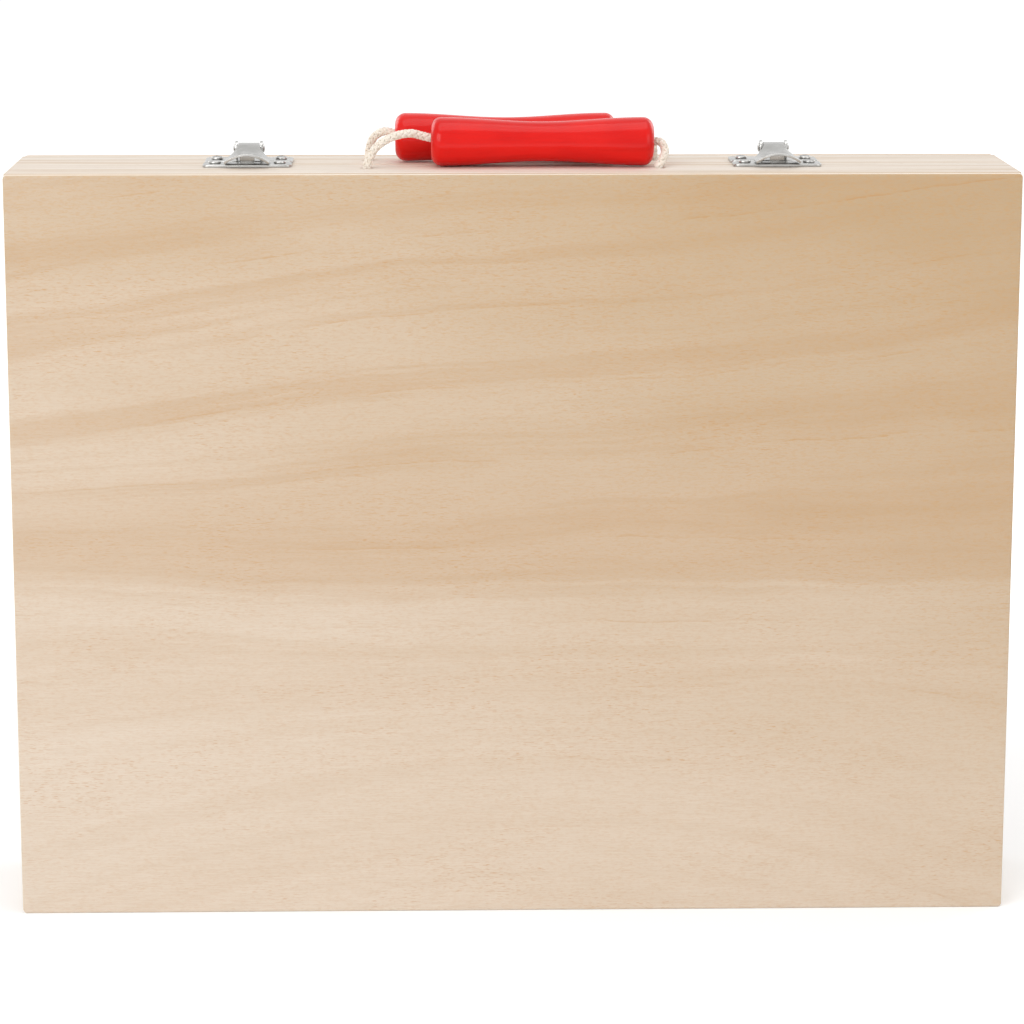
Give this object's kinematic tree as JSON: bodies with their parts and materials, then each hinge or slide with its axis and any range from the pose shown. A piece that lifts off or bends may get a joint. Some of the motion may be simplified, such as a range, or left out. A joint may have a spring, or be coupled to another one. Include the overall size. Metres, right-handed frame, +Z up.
{
  "type": "toy tool box",
  "caption": "Flat wooden toy tool case in two hinged halves, with turned red grips on cotton ropes and duckbill latches on top.",
  "frame": {"origin": "middle of the bottom, on the surface that the case stands on", "axes": "+X along the case's width to its right, +Y from the front panel to the back panel, +Z up to the handles"},
  "size_m": [0.34, 0.065, 0.2727],
  "materials": {
    "plywood": "bare sanded plywood with faint wavy grain",
    "rail_wood": "bare sanded softwood, straight grain",
    "red_paint": "gloss red lacquer on turned wood",
    "cotton_rope": "braided natural cotton",
    "nickel": "bright nickel plating on sheet steel",
    "hinge_steel": "zinc-plated steel"
  },
  "bodies": {
    "back_half": {"back_panel": "plywood", "back_top_rail": "rail_wood", "back_bottom_rail": "rail_wood", "back_left_rail": "rail_wood", "back_right_rail": "rail_wood", "left_latch_base": "nickel", "right_latch_base": "nickel", "left_latch_pin": "nickel", "right_latch_pin": "nickel", "left_hinge_back_leaf": "hinge_steel", "right_hinge_back_leaf": "hinge_steel", "left_hinge_pin": "hinge_steel", "right_hinge_pin": "hinge_steel", "back_latch_screw_left_inner": "nickel", "back_latch_screw_left_outer": "nickel", "back_latch_screw_right_inner": "nickel", "back_latch_screw_right_outer": "nickel", "back_hinge_screw_left_inner": "hinge_steel", "back_hinge_screw_left_outer": "hinge_steel", "back_hinge_screw_right_inner": "hinge_steel", "back_hinge_screw_right_outer": "hinge_steel"},
    "front_half": {"front_panel": "plywood", "front_top_rail": "rail_wood", "front_bottom_rail": "rail_wood", "front_left_rail": "rail_wood", "front_right_rail": "rail_wood", "left_catch_plate": "nickel", "right_catch_plate": "nickel", "left_hinge_front_leaf": "hinge_steel", "right_hinge_front_leaf": "hinge_steel", "front_latch_screw_left_inner": "nickel", "front_latch_screw_left_outer": "nickel", "front_latch_screw_right_inner": "nickel", "front_latch_screw_right_outer": "nickel", "front_hinge_screw_left_inner": "hinge_steel", "front_hinge_screw_left_outer": "hinge_steel", "front_hinge_screw_right_inner": "hinge_steel", "front_hinge_screw_right_outer": "hinge_steel"},
    "left_lever": {"left_latch_lever": "nickel"},
    "right_lever": {"right_latch_lever": "nickel"},
    "front_bail": {"front_rope": "cotton_rope"},
    "back_bail": {"back_rope": "cotton_rope"},
    "front_handle": {"front_grip": "red_paint"},
    "back_handle": {"back_grip": "red_paint"}
  },
  "joints": [
    {"name": "front_half_opens", "type": "hinge", "parent": "back_half", "child": "front_half", "pos_m": [0, 0, 0.00185], "axis": [1, 0, 0], "range_deg": [0, 110]},
    {"name": "left_lever_lifts", "type": "hinge", "parent": "back_half", "child": "left_lever", "pos_m": [-0.09, 0.0075, 0.2609], "axis": [-1, 0, 0], "range_deg": [0, 150]},
    {"name": "right_lever_lifts", "type": "hinge", "parent": "back_half", "child": "right_lever", "pos_m": [0.09, 0.0075, 0.2609], "axis": [-1, 0, 0], "range_deg": [0, 150]},
    {"name": "front_rope_swings", "type": "hinge", "parent": "front_half", "child": "front_bail", "pos_m": [0, -0.013, 0.256], "axis": [1, 0, 0], "range_deg": [0, 56], "deforming": ["front_rope"]},
    {"name": "front_grip_turns", "type": "hinge", "parent": "front_bail", "child": "front_handle", "pos_m": [0.01, -0.00835, 0.2645], "axis": [1, 0, 0], "continuous": true},
    {"name": "back_rope_swings", "type": "hinge", "parent": "back_half", "child": "back_bail", "pos_m": [0, 0.013, 0.256], "axis": [-1, 0, 0], "range_deg": [0, 56], "deforming": ["back_rope"]},
    {"name": "back_grip_turns", "type": "hinge", "parent": "back_bail", "child": "back_handle", "pos_m": [-0.0034, 0.00835, 0.2645], "axis": [1, 0, 0], "continuous": true}
  ]
}
